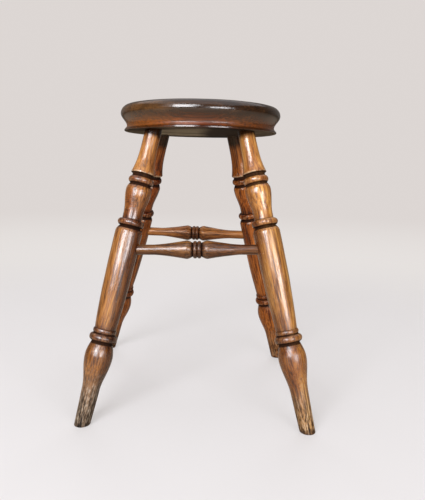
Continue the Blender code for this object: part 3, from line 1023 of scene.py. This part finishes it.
def make_wedge(name, leg):
    """One wedge, cut to the width of its tenon and sawn off level with the seat."""
    half_thickness = WEDGE_HEAD_THICKNESS / 2
    width = 2 * math.sqrt(TENON_HEAD_RADIUS ** 2 - half_thickness ** 2) - 4 * FIT
    wedge = wedge_blank("tenon_wedge_" + name, 0.0, width, leg.head_placement)
    saw_off(wedge, (0, 0, SEAT_TOP), (0, 0, 1))
    soften_rim(wedge, SEAT_TOP, width=0.0003, segments=2)
    mark_all(wedge, dict.fromkeys(TURNING_MARKS, 0.0))
    smooth(wedge)
    return wedge


def finish_piece(piece, material, node):
    """Gives a piece its finish, hangs it under the root body and hides the CAD node it stands for."""
    piece.data.materials.clear()
    piece.data.materials.append(material)
    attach(piece, "root")
    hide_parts(node)


def stretcher_setting(legs, ends):
    """Placement of a stretcher between two legs, and half its length with both tenons."""
    left, right = (legs[end].point(STRETCHER_DROP) for end in ends)
    half_length = (right - left).length / 2 + STRETCHER_TENON_PAST_AXIS
    return frame_along((left + right) / 2, right - left), half_length


def build_stool():
    """Turns the blanks, then makes and finishes every piece of the stool."""
    legs = {name: Leg(setting) for name, setting in LEG_SETTINGS.items()}
    outline = leg_outline()
    leg_hollows = Hollows(outline, LEG_REACH)
    blank = turn_on_lathe("leg_blank", [(-drop, radius) for drop, radius in outline], LEG_SIDES)
    half = stretcher_outline()
    rail_hollows = Hollows(half, RAIL_REACH)
    whole = half[::-1] + [(-out, radius) for out, radius in half[1:]]
    rail_blank = turn_on_lathe("rail_blank", whole, STRETCHER_SIDES)

    seat = make_seat(legs)
    finish_piece(seat, seat_wood("seat_polish"), "seat")
    for side, ends in STRETCHER_ENDS.items():
        placement, half_length = stretcher_setting(legs, ends)
        rail = make_stretcher(side, rail_blank, rail_hollows, placement, half_length)
        finish = turned_wood("stretcher_polish_" + side, placement, RAIL_LOOKS[side], FAR, -FAR)
        finish_piece(rail, finish, "stretcher_" + side)
        for name in ends:
            leg = legs[name]
            look = LEG_LOOKS[name]
            piece = make_leg(name, leg, blank, leg_hollows, (placement, half_length))
            finish = turned_wood("leg_polish_" + name, leg.placement, look, 0.0, -leg.length)
            finish_piece(piece, finish, "leg_" + name)
            wedge = make_wedge(name, leg)
            look = {**look, **WEDGE_CHANGES, "seed": look["seed"][::-1]}
            finish = turned_wood("wedge_polish_" + name, leg.placement, look, FAR, -FAR)
            finish_piece(wedge, finish, "wedge_" + name)
    bpy.data.objects.remove(blank, do_unlink=True)
    bpy.data.objects.remove(rail_blank, do_unlink=True)


# Studio

CAMERA_PLACE = Vector((0.02765, -0.8976, 0.3686))
CAMERA_YAW = -0.0071
CAMERA_PITCH = 0.1486
CAMERA_ROLL = 0.0205
CAMERA_LENS = 38.61
CAMERA_SENSOR = 36.0
BACKDROP = rgb(0.720, 0.675, 0.655)
PALE_SIDE = rgb(0.20, 0.185, 0.17)
DIM_SIDE = rgb(0.10, 0.08, 0.055)
FLOOR_RADIUS = 9.0
FLOOR_GLOW = rgb(0.790, 0.755, 0.735)
FLOOR_SEEN = rgb(0.74, 0.70, 0.68)
FLOOR_BOUNCE = rgb(0.42, 0.36, 0.28)
STOOL_MIDDLE = Vector((0.0, 0.0, 0.26))
WINDOW_DISTANCE = 2.2
DAYLIGHT = (0.94, 0.98, 1.06)
WINDOWS = {
    "window_left": {"turns": (-35, -8), "heights": (10, 38), "radiance": 12.5},
    "window_right": {"turns": (14, 40), "heights": (2, 18), "radiance": 10.0},
    "curtain_left": {"turns": (-52, -4), "heights": (8, 40), "radiance": 0.7},
    "curtain_right": {"turns": (8, 46), "heights": (0, 26), "radiance": 0.7},
}


def make_camera():
    """Camera where the photograph's stood, turned and tilted as it was."""
    level_share = math.cos(CAMERA_PITCH)
    forward = Vector((-math.sin(CAMERA_YAW) * level_share, math.cos(CAMERA_YAW) * level_share,
                      -math.sin(CAMERA_PITCH)))
    level = Vector((math.cos(CAMERA_YAW), math.sin(CAMERA_YAW), 0.0))
    upright = level.cross(forward)
    right = level * math.cos(CAMERA_ROLL) + upright * math.sin(CAMERA_ROLL)
    up = upright * math.cos(CAMERA_ROLL) - level * math.sin(CAMERA_ROLL)
    turn = Matrix((right, up, -forward)).transposed().to_4x4()
    clear_selection()
    bpy.ops.object.camera_add()
    camera = bpy.context.active_object
    camera.data.sensor_width = CAMERA_SENSOR
    camera.data.lens = CAMERA_LENS
    camera.matrix_world = Matrix.Translation(CAMERA_PLACE) @ turn
    bpy.context.scene.camera = camera


def softbox(name, place, aim, width, height, radiance):
    """Large even lamp that faces a point; radiance is how bright its face is."""
    clear_selection()
    bpy.ops.object.light_add(type="AREA", location=place)
    lamp = bpy.context.active_object
    lamp.name = name
    lamp.data.shape = "RECTANGLE"
    lamp.data.size = width
    lamp.data.size_y = height
    lamp.data.color = DAYLIGHT
    lamp.data.energy = radiance * math.pi * width * height
    lamp.rotation_euler = (Vector(aim) - Vector(place)).to_track_quat("-Z", "Y").to_euler()
    return lamp


def window(name, turns, heights, radiance):
    """Softbox that fills a range of bearings to the right of the front, and of heights, in degrees."""
    bearing = math.radians(sum(turns) / 2)
    rising = math.radians(sum(heights) / 2)
    level = math.cos(rising)
    towards = Vector((math.sin(bearing) * level, -math.cos(bearing) * level, math.sin(rising)))
    width = 2 * WINDOW_DISTANCE * math.tan(math.radians(turns[1] - turns[0]) / 2)
    height = 2 * WINDOW_DISTANCE * math.tan(math.radians(heights[1] - heights[0]) / 2)
    softbox(name, STOOL_MIDDLE + towards * WINDOW_DISTANCE, STOOL_MIDDLE, width, height, radiance)


def make_floor():
    """Pale floor that melts into the backdrop's tone far from the stool, and is clear from below."""
    clear_selection()
    bpy.ops.mesh.primitive_circle_add(vertices=96, radius=FLOOR_RADIUS, fill_type="NGON")
    floor = bpy.context.active_object
    floor.name = "studio_floor"
    material = bpy.data.materials.new("studio_floor_paint")
    material.use_nodes = True
    tree = material.node_tree
    shader = tree.nodes["Principled BSDF"]
    shader.inputs["Roughness"].default_value = 0.7
    shader.inputs["Specular IOR Level"].default_value = 0.2
    start = Flow(tree)
    reach = start.node("ShaderNodeVectorMath", {"operation": "LENGTH"}, {0: object_place(start)}, "Value")
    far = ease(reach, 0.6, 1.6)
    ray = start.node("ShaderNodeLightPath", {}, {}, "Is Camera Ray")
    tone = tint(ease(reach, 1.2, 4.0), FLOOR_GLOW, BACKDROP)
    glow = start.node("ShaderNodeEmission", {}, {"Color": tone, "Strength": 1.0})
    connect(shader, "Base Color", tint(ray, FLOOR_BOUNCE, FLOOR_SEEN))
    lit = Flow(tree, shader.outputs["BSDF"])
    mixed = start.node("ShaderNodeMixShader", {}, {0: (0.45 + 0.55 * far) * ray, 1: lit, 2: glow})
    clear = start.node("ShaderNodeBsdfTransparent", {}, {})
    below = start.node("ShaderNodeNewGeometry", {}, {}, "Backfacing")
    shown = start.node("ShaderNodeMixShader", {}, {0: below, 1: mixed, 2: clear})
    tree.links.new(shown.socket, tree.nodes["Material Output"].inputs["Surface"])
    floor.data.materials.append(material)


def make_world():
    """Dim light from all round, paler from behind the stool; the camera sees the plain backdrop instead."""
    world = bpy.data.worlds.new("studio")
    bpy.context.scene.world = world
    world.use_nodes = True
    tree = world.node_tree
    start = Flow(tree)
    ray = start.node("ShaderNodeLightPath", {}, {}, "Is Camera Ray")
    backwards = axis_of(start.node("ShaderNodeTexCoord", {}, {}, "Generated"), "Y")
    surround = tint(ease(backwards, 0.1, 0.8), DIM_SIDE, PALE_SIDE)
    connect(tree.nodes["Background"], "Color", tint(ray, surround, BACKDROP))


build_stool()
make_camera()
make_floor()
make_world()
for window_name, window_setting in WINDOWS.items():
    window(window_name, **window_setting)
softbox("ceiling", place=(0.0, 0.0, 2.4), aim=(0.0, 0.0, 0.0), width=4.0, height=4.0, radiance=0.75)
back_fill = softbox("back_fill", place=(0.0, 2.0, 1.6), aim=STOOL_MIDDLE,
                    width=2.4, height=1.6, radiance=2.6)
back_fill.visible_glossy = False
bpy.context.scene.view_settings.view_transform = "Standard"
